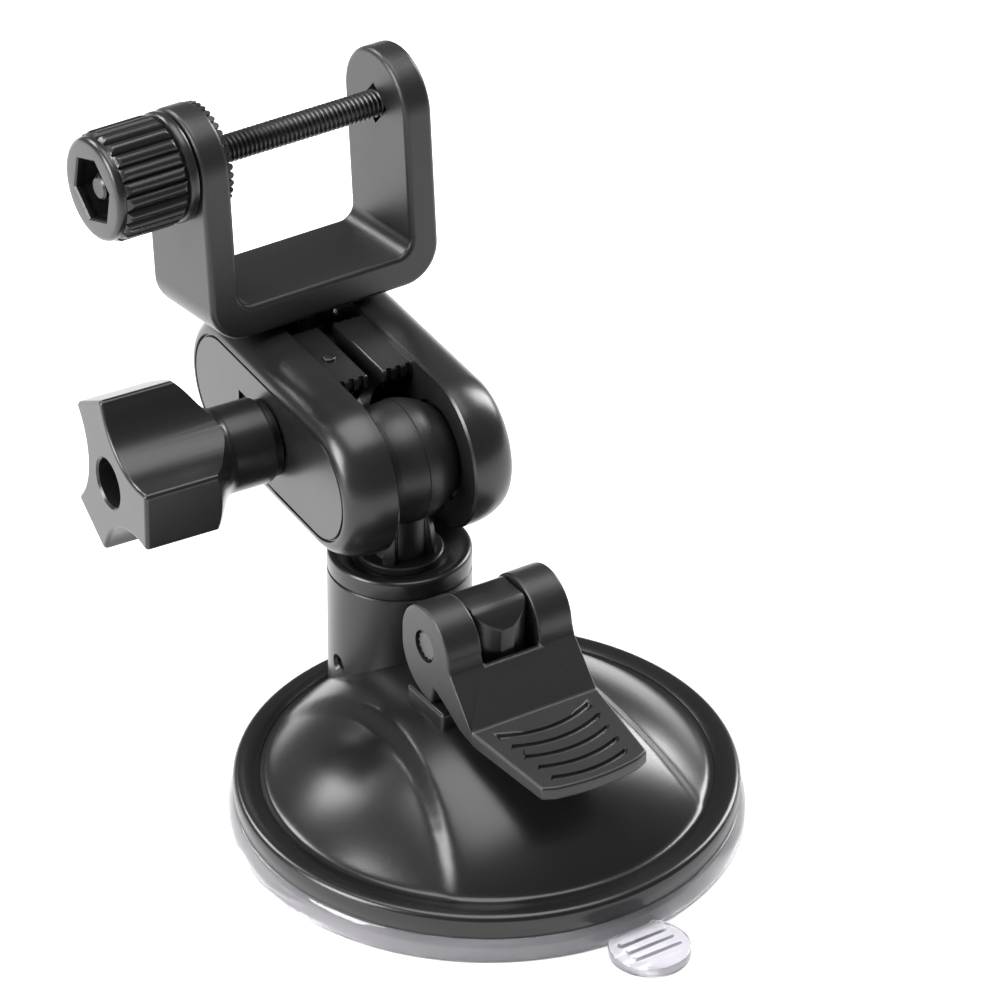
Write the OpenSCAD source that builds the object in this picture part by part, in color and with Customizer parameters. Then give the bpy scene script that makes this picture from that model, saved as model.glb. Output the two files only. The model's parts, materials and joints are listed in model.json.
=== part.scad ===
// Windscreen suction mount: lever-locked suction cup, double ball arm and a U-shaped device clamp.
// Origin at the centre of the suction pad's underside. +Z points away from the glass, -Y towards
// the locking lever, -X towards the clamp knob. All sizes are in millimetres.

/* [Suction pad] */
// Outer radius of the clear pad
pad_r = 34.9; // [30:0.1:46]
// Height of the pad's upright edge
pad_edge_h = 1.8; // [1:0.1:3]
// Height of the sloping band above the edge
pad_slope_h = 1.5; // [0.8:0.1:3]
// Radius inside which the pad's underside rises when locked
pad_flat_r = 27; // [22:0.5:30]
// How far the middle of the pad is drawn up when locked
pad_lift = 2.5; // [1.5:0.1:3.5]
// Thickness of the flexible middle
pad_skin = 1.7; // [1:0.1:2.5]
// Width of the pull tab's neck
tab_neck_w = 6.8; // [5:0.1:12]
// Width of the pull tab's paddle
tab_w = 11; // [8:0.5:16]
// Length of the pull tab beyond the pad's edge
tab_len = 9.5; // [6:0.5:14]
// Thickness of the pull tab
tab_t = 1.4; // [1:0.1:1.7]
// Direction of the tab, turned from -Y about Z
tab_turn = 1; // [-30:1:30]

/* [Cup shell] */
// Outer radius of the shell's rim
shell_r = 34.2; // [29:0.1:45]
// Height of the rim wall
rim_h = 3.4; // [2.5:0.1:6]
// Radius of the dome where it meets the rim
foot_r = 30; // [26:0.5:40]
// Height of the raised middle of the dome
dome_h = 20; // [18:0.1:24]
// How much lower the two side lobes are at their crown
lobe_drop = 1.5; // [0.8:0.1:2.5]
// Radius in plan of the ramps beside the lobes
lobe_arc_r = 70; // [50:1:120]
// Distance of the ramps from the middle
lobe_x = 13.6; // [11:0.1:16]
// Thickness of the shell's wall
shell_wall = 2; // [1.5:0.1:2.6]
// Height of the seat that the lever's cams press on
seat_z = 21.2; // [20.5:0.1:24]

/* [Column] */
// Distance of the column behind the middle of the cup
column_y = 22.3; // [18:0.1:26]
// Outer radius of the column
column_r = 9.9; // [8.5:0.1:12]
// Height of the top of the column's collar
column_h = 30.1; // [27:0.1:40]
// Height of the collar ring
collar_h = 2.9; // [2:0.1:4]
// Height of the cross pin that holds the ball stud
cross_pin_z = 14; // [13:0.1:16]

/* [Locking lever] */
// Height of the lever's hinge pin
pin_z = 29.7; // [28.5:0.1:34]
// Radius of the hinge pin
pin_r = 1.5; // [1:0.1:2]
// Overall width of the lever
lever_w = 19.6; // [17:0.1:24]
// Width of the slot between the lever's ears
slot_w = 8.8; // [7:0.1:10]
// Radius of the ears
ear_r = 5.8; // [5:0.1:7]
// Angle through which the lever swings open
lever_swing = 90; // [60:5:100]
// Distance of the finger pad's tip from the hinge
lever_reach = 27.8; // [22:0.1:34]
// Width of the finger pad at its tip
tip_w = 16.4; // [12:0.1:18]
// Thickness of the finger pad
finger_t = 2; // [1.6:0.1:3]
// Number of grip grooves
groove_n = 5; // [0:1:6]

/* [Plunger] */
// Radius of the plunger's post
post_r = 5.1; // [4.5:0.1:5.3]
// Width of the post across its flats
post_flat_w = 8.2; // [6.5:0.1:9]
// Radius of the rounded top of the post
barrel_r = 5.5; // [5:0.1:6]
// Radius of the plate bonded to the pad
plate_r = 9.5; // [8:0.5:13]
// Thickness of that plate
plate_t = 1.6; // [1.2:0.1:2.5]

/* [Return spring] */
// Wire radius
wire_r = 0.45; // [0.3:0.05:0.6]
// Mean coil radius
coil_r = 6.9; // [6.2:0.1:8]
// Number of turns
coil_turns = 3.5; // [2:0.5:5]

/* [Ball arm] */
// Radius of both balls
ball_r = 8.5; // [7.5:0.1:9]
// Height of the lower ball's centre
ball_z = 43.45; // [42:0.05:55]
// Distance between the ball centres
arm_len = 27.5; // [25:0.5:40]
// Radius of the arm's rounded ends
arm_r = 11; // [10.5:0.1:13]
// Distance from the middle of the arm to its outer faces
arm_half_t = 12.7; // [11.5:0.1:15]
// Distance from the middle of the arm to the rim around each ball
rim_x = 5.7; // [5:0.1:6.5]
// Radius of the flat panel on the outer faces
panel_r = 8; // [7:0.1:9]
// Width of the gap between the two halves
arm_gap = 2.1; // [1.5:0.1:3]
// Turn of the arm about the column
arm_turn = -3; // [-20:1:20]
// Radius of the ball studs' necks
neck_r = 4; // [3:0.1:4.5]

/* [Clamp knob] */
// Distance from the arm's face to the knob's end
knob_len = 23.9; // [20:0.1:30]
// Radius of the lobes' corners
knob_r = 12.2; // [10:0.1:15]
// Radius of the round hub beside the arm
hub_r = 6; // [5:0.1:6.2]
// Length of the lobed part
lobe_len = 9.3; // [6:0.1:14]
// Radius of the hole in the knob's end
knob_hole_r = 3.45; // [3.2:0.05:3.8]
// Radius of the clamp screw
screw_r = 2.5; // [2:0.1:2.8]
// Pitch of the clamp screw
screw_pitch = 0.8; // [0.7:0.05:1]

/* [U bracket] */
// Clear width between the legs
gap_w = 27.5; // [22:0.5:40]
// Thickness of each leg
leg_t = 4.4; // [3.5:0.1:6]
// Thickness of the bracket's floor
floor_t = 4.7; // [4:0.1:7]
// Depth of the bracket along the arm
bracket_d = 15.6; // [14:0.1:20]
// Height of the bracket's underside above the upper ball
bracket_z = 11.3; // [11:0.1:14]
// Height of the threaded rod above the upper ball
rod_z = 35.8; // [32:0.1:48]
// Lean of the bracket away from the lever
bracket_lean = 5.3; // [0:0.1:20]
// Turn of the bracket about its neck
bracket_turn = 4.5; // [-20:0.5:20]
// Number of clamping teeth round the rod hole
teeth_n = 40; // [12:2:60]

/* [Threaded rod and nuts] */
// Radius of the rod
rod_r = 2; // [1.5:0.1:2.5]
// Width across the flats of the nuts
nut_af = 7; // [6:0.1:8]
// Thickness of the nuts
nut_t = 3.2; // [2.4:0.1:4]
// Outer radius of the thumb nut
thumb_r = 7.7; // [6.5:0.1:10]
// Length of the thumb nut
thumb_len = 12.2; // [9:0.1:18]
// Number of grooves round the thumb nut
thumb_grooves = 22; // [8:1:30]
// Width across the flats of the hexagonal socket in its end
socket_af = 8.3; // [7.5:0.1:9]

/* [Hidden] */
$fn = 96;

black = "#1c1c1e";
dark_grey = "#2a2a2c";
steel = "#8d9095";
brass = "#b59a56";
clear = "#dcd8e6";

run = 0.08;          // radial clearance of a running fit
gap = 0.3;           // clearance between pieces that only pass each other
chamfer = 0.6;
eps = 0.01;

shell_z = pad_edge_h + pad_slope_h;
rim_top = shell_z + rim_h;
shell_in_r = pad_flat_r + 0.5;
saddle_rise = dome_h - rim_top;
lobe_rise = saddle_rise - lobe_drop;
cavity_rise = lobe_rise - shell_wall;
cavity_edge_r = shell_in_r - 0.4;
skin_top = pad_lift + pad_skin;
plate_top = skin_top + plate_t;

guide_boss_r = post_r + 3;
guide_boss_z = plate_top + 6.5;
seat_d = 9;
collar_z = column_h - collar_h;
column_floor_z = rim_top - 1.5;
shank_r = column_r / 2;
bore_floor_z = cross_pin_z - 4;
spigot_r = column_r - 2.3;
spigot_h = 2.7;
dish_z = column_h - 1.3;
cross_pin_r = 1;

cam_gap = 0.2;
cam_low = pin_z - seat_z - cam_gap;
cam_slope = (cam_low - ear_r) / (lever_swing * PI / 180);
crease = [-11.9, pin_z - 6.9];
tip_z = pin_z - 7.8;
slot_edge = [-6.4, pin_z - 1.3];
tip_edge_y = -lever_reach + 1.5;

web_h = 10.2;
web_end_r = ball_r + 2.2;
web_start = web_end_r - 4.2;
flute_d = 0.6;
screw_y = arm_len / 2;
washer_t = 1;
knob_x0 = -arm_half_t - gap - washer_t;
knob_x1 = -arm_half_t - knob_len;
insert_len = 9;
insert_x = knob_x0 - 1.6;
screw_head_r = 4;
screw_head_t = 1.3;

leg_x = gap_w / 2;
outer_x = leg_x + leg_t;
floor_z = bracket_z + floor_t;
leg_round = bracket_d / 2;
thumb_x0 = -outer_x - gap;
thumb_x1 = thumb_x0 - thumb_len;
socket_depth = 4.6;
rod_x0 = thumb_x1 + 1;
rod_x1 = outer_x - 1.2;
pocket_af = nut_af + 0.1;
socket_turn = 16;
far_nut_x = outer_x - nut_t;
tooth_h = 0.6;

// Places the children in the arm's frame: origin at the lower ball, +Y along the arm.
module in_arm()
    translate([0, column_y, ball_z]) rotate([0, 0, arm_turn]) children();

// Places the children in the bracket's frame: origin at the upper ball, +Z up its neck.
module in_bracket()
    in_arm() translate([0, arm_len, 0]) rotate([-bracket_lean, 0, 0])
        rotate([0, 0, bracket_turn]) children();

// A cylinder from x0 to x1 about the X axis.
module rod_x(x0, x1, r, n = $fn)
    translate([x0, 0, 0]) rotate([0, 90, 0]) cylinder(r = r, h = x1 - x0, $fn = n);

// A hexagonal bar from x0 to x1 about the X axis.
module hex_x(x0, x1, af)
    rod_x(x0, x1, af / sqrt(3), 6);

// A profile of [radius, x] points turned about the X axis.
module turn_x(points)
    rotate([0, 90, 0]) rotate_extrude() polygon(points);

// A shape drawn in [y, z] and run from x0 to x1.
module extrude_x(x0, x1)
    translate([x0, 0, 0]) rotate([90, 0, 90]) linear_extrude(height = x1 - x0) children();

// Points of an arc in degrees.
function arc(cx, cy, r, a0, a1, n) =
    [for (i = [0:n]) let (a = a0 + (a1 - a0) * i / n) [cx + r * cos(a), cy + r * sin(a)]];

// ---------------------------------------------------------------- suction cup

module pull_tab() {
    paddle_y = pad_r + tab_len - tab_w / 2;
    rib_n = 3;
    rib_pitch = 1.7;
    rib_w = 0.8;
    rib_h = 0.4;
    rotate([0, 0, tab_turn - 90]) {
        translate([pad_r - 2, -tab_neck_w / 2, 0])
            cube([tab_len - tab_w / 2 + 2, tab_neck_w, tab_t]);
        translate([paddle_y, 0, 0]) cylinder(r = tab_w / 2, h = tab_t);
        for (i = [0:rib_n - 1])
            translate([paddle_y + (i - 1) * rib_pitch - rib_w / 2, -tab_w / 3, 0])
                cube([rib_w, tab_w * 2 / 3, tab_t + rib_h]);
    }
}

module suction_pad() color(clear) {
    drawn_r = plate_r + 1;
    rotate_extrude(convexity = 4) polygon([
        [0, pad_lift], [drawn_r, pad_lift], [pad_flat_r, 0], [pad_r, 0], [pad_r, pad_edge_h],
        [shell_r, shell_z], [pad_flat_r, shell_z], [pad_flat_r - 1, pad_skin],
        [drawn_r, skin_top], [0, skin_top]]);
    pull_tab();
}

// The top of a sphere that crosses the rim's upper face at the given radius.
module dome(rise, edge_r) {
    sphere_r = (edge_r * edge_r + rise * rise) / (2 * rise);
    intersection() {
        translate([0, 0, rim_top + rise - sphere_r]) sphere(r = sphere_r, $fn = 160);
        translate([0, 0, rim_top - 1]) cylinder(r = 2 * foot_r, h = rise + 5);
    }
}

module shell_outside() {
    ramp_z = rim_top - 2;
    ramp_h = dome_h - ramp_z + 1;
    ramp_y = 4;
    rotate_extrude() polygon([
        [shell_in_r - 1, shell_z], [shell_r, shell_z], [shell_r, rim_top - chamfer],
        [shell_r - chamfer, rim_top], [shell_in_r - 1, rim_top]]);
    dome(lobe_rise, foot_r - 0.4);
    difference() {
        dome(saddle_rise, foot_r);
        for (side = [-1, 1])
            translate([side * (lobe_x + lobe_arc_r), ramp_y, ramp_z])
                cylinder(r = lobe_arc_r, h = ramp_h, $fn = 160);
    }
}

module column_tube()
    translate([0, column_y, 0]) {
        translate([0, 0, column_floor_z]) cylinder(r = column_r, h = collar_z - column_floor_z);
    }

// The plunger's post in plan, grown all round by extra.
module post_plan(extra)
    intersection() {
        circle(r = post_r + extra);
        square([post_flat_w + 2 * extra, 4 * post_r], center = true);
    }

module cam_seat()
    translate([-lever_w / 2, -seat_d / 2, rim_top]) cube([lever_w, seat_d, seat_z - rim_top]);

module cup_shell() color(black) difference() {
    union() {
        difference() {
            union() {
                shell_outside();
                cam_seat();
            }
            dome(cavity_rise, cavity_edge_r);
            translate([0, 0, shell_z - 1]) cylinder(r = shell_in_r, h = rim_h);
        }
        column_tube();
        translate([0, 0, guide_boss_z]) cylinder(r = guide_boss_r, h = rim_top + lobe_rise - 0.7 - guide_boss_z);
    }
    translate([0, 0, shell_z]) linear_extrude(height = seat_z) post_plan(run);
    translate([0, column_y, bore_floor_z]) cylinder(r = shank_r + run, h = column_h);
    translate([0, column_y, collar_z - spigot_h - eps]) cylinder(r = spigot_r, h = spigot_h + 1);
    translate([0, column_y, cross_pin_z]) rod_x(-column_r - 1, -shank_r, cross_pin_r);
}

module plunger() color(dark_grey) difference() {
    union() {
        translate([0, 0, skin_top]) cylinder(r = plate_r, h = plate_t);
        intersection() {
            translate([0, 0, skin_top + plate_t / 2]) linear_extrude(height = pin_z) post_plan(0);
            union() {
                translate([-post_r - 1, -post_r - 1, skin_top])
                    cube([2 * post_r + 2, 2 * post_r + 2, pin_z - skin_top]);
                translate([0, 0, pin_z]) rod_x(-post_r - 1, post_r + 1, barrel_r);
            }
        }
    }
    translate([0, 0, pin_z]) rod_x(-post_r - 1, post_r + 1, pin_r + run);
}

// A round wire of radius r along the points p, with each ring square to the coil's axis plane.
module return_spring() color(steel) {
    sides = 6;
    steps_per_turn = 16;
    z0 = plate_top + wire_r;
    z1 = guide_boss_z - wire_r;
    n = coil_turns * steps_per_turn;
    ring = function (i) let (a = 360 * i / steps_per_turn, z = z0 + (z1 - z0) * i / n)
        [for (k = [0:sides - 1]) let (b = 360 * k / sides, d = coil_r + wire_r * cos(b))
            [d * cos(a), d * sin(a), z + wire_r * sin(b)]];
    points = [for (i = [0:n]) each ring(i)];
    walls = [for (i = [0:n - 1], k = [0:sides - 1]) let (m = (k + 1) % sides)
        [i * sides + k, (i + 1) * sides + k, (i + 1) * sides + m, i * sides + m]];
    near_end = [for (k = [0:sides - 1]) k];
    far_end = [for (k = [sides - 1:-1:0]) n * sides + k];
    polyhedron(points = points, faces = concat(walls, [near_end, far_end]));
}

// ---------------------------------------------------------------- locking lever

// The cam's edge, whose distance to the flat seat shrinks evenly as the lever swings.
function cam_edge(n) = [for (i = [0:n]) let (t = lever_swing * i / n, h = cam_low - cam_slope * t * PI / 180)
    [h * sin(t) - cam_slope * cos(t), pin_z - h * cos(t) - cam_slope * sin(t)]];

module lever_side() {
    back = cam_edge(15);
    polygon(concat(
        [[-ear_r, pin_z], [-ear_r - 0.35, pin_z - 0.9], slot_edge, crease,
         [-lever_reach - 1, tip_z + (crease[1] - tip_z) * (lever_reach + 1 + crease[0]) / 200],
         [-lever_reach - 1, tip_z - finger_t], [crease[0] - 0.8, crease[1] - finger_t - 0.3],
         [-8.6, pin_z - 8.5], [-5.9, pin_z - 7.1], [-2.4, pin_z - 5.4]],
        back, [[ear_r, pin_z]]));
    translate([0, pin_z]) circle(r = ear_r);
}

module lever_plan() {
    corner_r = 1.6;
    bow_r = 30;
    edge_w = lever_w / 2;
    intersection() {
        polygon([
            [-edge_w, ear_r + 1], [-edge_w, crease[0]], [-tip_w / 2, tip_edge_y],
            [-tip_w / 2 + corner_r, -lever_reach], [tip_w / 2 - corner_r, -lever_reach],
            [tip_w / 2, tip_edge_y], [edge_w, crease[0]], [edge_w, ear_r + 1]]);
        translate([0, bow_r - lever_reach]) circle(r = bow_r);
    }
}

module grip_grooves() {
    bow_r = 15.7;
    first_y = -15.8;
    pitch = 2.55;
    width = 0.8;
    depth = 0.55;
    for (i = [0:groove_n - 1]) {
        half = 7.2 - 0.33 * i;
        y = first_y - pitch * i;
        top = tip_z + (crease[1] - tip_z) * (lever_reach + y) / (lever_reach + crease[0]);
        intersection() {
            translate([0, y + bow_r, top - depth]) difference() {
                cylinder(r = bow_r + width / 2, h = 3);
                translate([0, 0, -1]) cylinder(r = bow_r - width / 2, h = 5);
            }
            translate([-half, y - width, 0]) cube([2 * half, 4, pin_z]);
        }
    }
}

module cam_lever() color(black) difference() {
    intersection() {
        extrude_x(-lever_w / 2, lever_w / 2) lever_side();
        linear_extrude(height = pin_z + 2 * ear_r) lever_plan();
    }
    translate([-slot_w / 2, slot_edge[0] + 0.5, 0]) cube([slot_w, 20, pin_z + 10]);
    translate([-slot_w / 2, slot_edge[0] - 10, slot_edge[1]]) cube([slot_w, 20, 20]);
    translate([0, 0, pin_z]) rod_x(-lever_w, lever_w, pin_r);
    translate([0, 0, pin_z]) rod_x(-lever_w / 2 - 1, -lever_w / 2 + 1.2, pin_r + 0.8);
    grip_grooves();
}

module lever_pin() color(steel) {
    teeth = 14;
    head_l = 0.8;
    head_x = -lever_w / 2 + 1.2 - head_l;
    translate([0, 0, pin_z]) {
        rod_x(head_x + head_l / 2, lever_w / 2 - 0.5, pin_r);
        extrude_x(head_x, head_x + head_l) polygon([for (i = [0:2 * teeth - 1])
            (pin_r + (i % 2 == 0 ? 0.65 : 0.25)) * [cos(180 * i / teeth), sin(180 * i / teeth)]]);
    }
}

// ---------------------------------------------------------------- column and ball studs

module column_collar() color(black)
    translate([0, column_y, 0]) rotate_extrude() polygon([
        [shank_r + run, collar_z - spigot_h], [spigot_r, collar_z - spigot_h], [spigot_r, collar_z],
        [column_r, collar_z], [column_r, column_h - chamfer], [column_r - chamfer, column_h],
        [column_r - 1.1, column_h], [neck_r + 2.6, dish_z], [shank_r + run, dish_z]]);

module cross_pin() color(steel)
    translate([0, column_y, cross_pin_z]) rod_x(-column_r + 1, -shank_r + 0.8, cross_pin_r);

// A ball standing on a ribbed neck that reaches down to z = -drop.
module ball_and_neck(drop) {
    rib_t = 2;
    rib_foot = neck_r + 1.3;
    rib_top_z = -ball_r + 1.5;
    sphere(r = ball_r, $fn = 96);
    translate([0, 0, -drop]) cylinder(r = neck_r, h = drop + rib_top_z);
    for (a = [45, 135]) rotate([0, 0, a]) rotate([90, 0, 0])
        linear_extrude(height = rib_t, center = true) polygon([
            [-rib_foot, -drop], [rib_foot, -drop], [neck_r, rib_top_z], [-neck_r, rib_top_z]]);
}

module lower_ball_stud() color(black) {
    shoulder_h = 1;
    shoulder_z = dish_z + run;
    groove_r = shank_r - 1.1;
    groove_h = 2 * cross_pin_r + 0.2;
    stud_floor = bore_floor_z + gap;
    in_arm() ball_and_neck(ball_z - shoulder_z - shoulder_h / 2);
    translate([0, column_y, 0]) {
        translate([0, 0, shoulder_z]) cylinder(r = neck_r + 2, h = shoulder_h);
        translate([0, 0, stud_floor]) difference() {
            cylinder(r = shank_r, h = shoulder_z - stud_floor);
            translate([0, 0, cross_pin_z - groove_h / 2 - stud_floor]) difference() {
                cylinder(r = shank_r + 1, h = groove_h);
                translate([0, 0, -1]) cylinder(r = groove_r, h = groove_h + 2);
            }
        }
    }
}

// ---------------------------------------------------------------- arm

// Half of the arm's outer shape in [distance from its spine, x].
arm_profile = concat(
    [[0, rim_x - 0.7], [ball_r - 1, rim_x - 0.7], [arm_r, rim_x]],
    [for (i = [0:8]) let (a = 90 * i / 8)
        [panel_r + (arm_r - panel_r) * cos(a), rim_x + 1 + (arm_half_t - rim_x - 1) * sin(a)]],
    [[0, arm_half_t]]);

module capsule(profile) {
    for (y = [0, arm_len]) translate([0, y, 0]) turn_x(profile);
    rotate([-90, 0, 0]) linear_extrude(height = arm_len) polygon(concat(
        [for (p = profile) [p[1], p[0]]],
        [for (i = [len(profile) - 1:-1:0]) [profile[i][1], -profile[i][0]]]));
}

// The panel's outline groove.
module panel_groove() {
    groove_w = 0.35;
    groove_d = 0.35;
    difference() {
        capsule([[0, arm_half_t - groove_d], [panel_r, arm_half_t - groove_d], [panel_r, arm_half_t + 1],
            [0, arm_half_t + 1]]);
        capsule([[0, arm_half_t - 1], [panel_r - groove_w, arm_half_t - 1],
            [panel_r - groove_w, arm_half_t + 2], [0, arm_half_t + 2]]);
    }
}

// The block between the balls, with fluted hollow ends that a neck can rest in.
module arm_web() {
    flute_x = arm_gap / 2 + 0.75;
    flute_w = 0.8;
    flute_pitch = 1.45;
    difference() {
        translate([arm_gap / 2, web_start, -web_h])
            cube([rim_x - arm_gap / 2 + 0.5, arm_len - 2 * web_start, 2 * web_h]);
        for (end = [0, 1]) translate([0, end * arm_len, 0]) mirror([0, end, 0]) {
            rod_x(0, rim_x + 2, web_end_r);
            for (i = [0:2]) translate([flute_x + i * flute_pitch, 0, 0]) {
                rod_x(0, flute_w, web_end_r + flute_d);
                translate([0, 0, -2 * web_h]) cube([flute_w, web_start + flute_d, 4 * web_h]);
            }
        }
    }
}

// The half on the +X side; the other one is the same half turned about the arm's length.
module arm_half()
    difference() {
        union() {
            capsule(arm_profile);
            arm_web();
        }
        for (y = [0, arm_len]) translate([0, y, 0]) rotate([0, 90, 0]) sphere(r = ball_r + run / 2, $fn = 128);
        translate([0, screw_y, 0]) rod_x(0, arm_half_t + 1, screw_r + run);
        panel_groove();
    }

module arm_front_half() color(black) in_arm() {
    mark_w = 1.6;
    bump_r = 0.9;
    difference() {
        rotate([0, 180, 0]) arm_half();
        translate([-arm_half_t - 1, screw_y + 6.2, 1.4]) cube([1.8, 2.2, mark_w]);
    }
    translate([-rim_x + 2, screw_y - 1, web_h - 0.5]) cylinder(r = bump_r, h = bump_r);
}

module arm_rear_half() color(black) in_arm() arm_half();

// ---------------------------------------------------------------- clamp screw and knob

module clamp_screw() color(steel) in_arm() translate([0, screw_y, 0]) {
    edge_h = 0.5;
    rod_x(insert_x - insert_len - 1, arm_half_t + edge_h, screw_r);
    turn_x([[0, arm_half_t], [screw_head_r, arm_half_t], [screw_head_r, arm_half_t + edge_h],
        [screw_head_r - 1.2, arm_half_t + screw_head_t], [0, arm_half_t + screw_head_t]]);
}

module clamp_washer() color(steel) in_arm() translate([0, screw_y, 0]) difference() {
    rod_x(knob_x0, knob_x0 + washer_t, hub_r - 0.6);
    rod_x(knob_x0 - 1, knob_x0 + washer_t + 1, screw_r + run);
}

module knob_lobes() {
    lobe_a = 22;
    scoop_min = hub_r + 0.35;
    far = knob_r * cos(60 - lobe_a);
    side = knob_r * sin(60 - lobe_a);
    scoop_d = (far * far + side * side - scoop_min * scoop_min) / (2 * (far - scoop_min));
    difference() {
        polygon([for (i = [0:2], s = [-1, 1]) let (a = 61 + 120 * i + s * lobe_a)
            knob_r * [cos(a), sin(a)]]);
        for (i = [0:2]) rotate(1 + 120 * i) translate([scoop_d, 0]) circle(r = scoop_d - scoop_min);
    }
}

module clamp_knob() color(black) in_arm() translate([0, screw_y, 0]) difference() {
    neck_end = knob_x1 + lobe_len;
    hub_end = knob_x0 - 6;
    intersection() {
        extrude_x(knob_x1, knob_x0) knob_lobes();
        turn_x(concat(
            [[0, knob_x0], [hub_r - 0.3, knob_x0], [hub_r, knob_x0 - 0.3]],
            [for (i = [0:8]) let (t = i / 8)
                [hub_r + (knob_r - hub_r) * (1 - cos(180 * t)) / 2, hub_end + (neck_end - hub_end) * t]],
            [[knob_r, knob_x1 + 0.4], [knob_r - 0.4, knob_x1], [0, knob_x1]]));
    }
    rod_x(knob_x1 - 1, insert_x, knob_hole_r);
    rod_x(insert_x - 1, 0, screw_r + run);
}

module knob_insert() color(brass) in_arm() translate([0, screw_y, 0]) difference() {
    rod_x(insert_x - insert_len, insert_x, knob_hole_r);
    rod_x(insert_x - insert_len - 1, insert_x + 1, screw_r + run);
}

// ---------------------------------------------------------------- U bracket

// A block along Y with its two lower edges rounded.
module round_foot_block(half_w, z0, z1, r) {
    depth = 2 * bracket_d;
    for (side = [-1, 1]) translate([side * (half_w - r), depth / 2, z0 + r])
        rotate([90, 0, 0]) cylinder(r = r, h = depth);
    translate([-half_w + r, -depth / 2, z0]) cube([2 * (half_w - r), depth, 2 * r]);
    translate([-half_w, -depth / 2, z0 + r]) cube([2 * half_w, depth, z1 - z0 - r]);
}

// Radial clamping teeth on the inner face of the near leg.
module leg_teeth() {
    tooth_in_r = leg_round - 2.4;
    pitch = 2 * PI * leg_round / teeth_n;
    translate([-leg_x, 0, rod_z]) for (i = [0:teeth_n - 1]) rotate([360 * i / teeth_n, 0, 0])
        translate([0, 0, tooth_in_r]) linear_extrude(height = leg_round - tooth_in_r) polygon([
            [-0.1, -pitch / 2], [tooth_h, 0], [-0.1, pitch / 2]]);
}

module u_bracket() color(black) in_bracket() {
    top_z = rod_z + leg_round;
    neck_drop = bracket_z + 0.5;
    difference() {
        intersection() {
            round_foot_block(outer_x, bracket_z, top_z, 5.5);
            union() {
                translate([-outer_x, -leg_round, bracket_z])
                    cube([2 * outer_x, bracket_d, rod_z - bracket_z]);
                translate([0, 0, rod_z]) rod_x(-outer_x, outer_x, leg_round);
            }
        }
        round_foot_block(leg_x, floor_z, top_z + 1, 2.2);
        translate([0, 0, rod_z]) rod_x(-outer_x - 1, outer_x + 1, rod_r + run);
        translate([0, 0, rod_z]) hex_x(far_nut_x, outer_x + 1, pocket_af);
        translate([0, 0, rod_z]) rod_x(leg_x - 1, leg_x + 0.8, (rod_r + run + 0.05) * sqrt(2), 4);
    }
    leg_teeth();
    mirror([0, 0, 1]) ball_and_neck(neck_drop);
}

module hex_nut(x0)
    difference() {
        hex_x(x0, x0 + nut_t, nut_af);
        rod_x(x0 - 1, x0 + nut_t + 1, rod_r + run);
    }

module far_leg_nut() color(dark_grey) in_bracket() translate([0, 0, rod_z]) hex_nut(far_nut_x);

module threaded_rod() color(dark_grey) in_bracket() translate([0, 0, rod_z])
    turn_x([[0, rod_x0], [rod_r - 0.4, rod_x0], [rod_r, rod_x0 + 0.4], [rod_r, rod_x1 - 0.4],
        [rod_r - 0.4, rod_x1], [0, rod_x1]]);

module thumb_nut() color(black) in_bracket() translate([0, 0, rod_z]) difference() {
    bevel = 1.1;
    flange_l = 1.3;
    groove_r = 0.45;
    nut_x = thumb_x1 + socket_depth + nut_t;
    turn_x([[0, thumb_x0], [thumb_r, thumb_x0], [thumb_r, thumb_x0 - flange_l],
        [thumb_r - 0.2, thumb_x0 - flange_l - 0.2], [thumb_r - 0.2, thumb_x1 + bevel],
        [thumb_r - bevel, thumb_x1], [0, thumb_x1]]);
    for (i = [0:thumb_grooves - 1]) rotate([360 * i / thumb_grooves, 0, 0])
        translate([0, 0, thumb_r]) rod_x(thumb_x1 + bevel + 0.6, thumb_x0 - flange_l - 0.7, groove_r, 16);
    rotate([-socket_turn, 0, 0]) {
        hex_x(thumb_x1 - 1, thumb_x1 + socket_depth, socket_af);
        hex_x(thumb_x1, nut_x, pocket_af);
    }
    rod_x(thumb_x1, thumb_x0 + 1, rod_r + run);
}

module thumb_insert_nut() color(dark_grey) in_bracket() translate([0, 0, rod_z])
    rotate([-socket_turn, 0, 0]) hex_nut(thumb_x1 + socket_depth);

suction_pad();
cup_shell();
plunger();
return_spring();
cam_lever();
lever_pin();
column_collar();
cross_pin();
lower_ball_stud();
arm_front_half();
arm_rear_half();
clamp_screw();
clamp_washer();
clamp_knob();
knob_insert();
u_bracket();
far_leg_nut();
threaded_rod();
thumb_nut();
thumb_insert_nut();
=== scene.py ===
import json
import math

import bpy
from mathutils import Matrix, Vector

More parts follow.
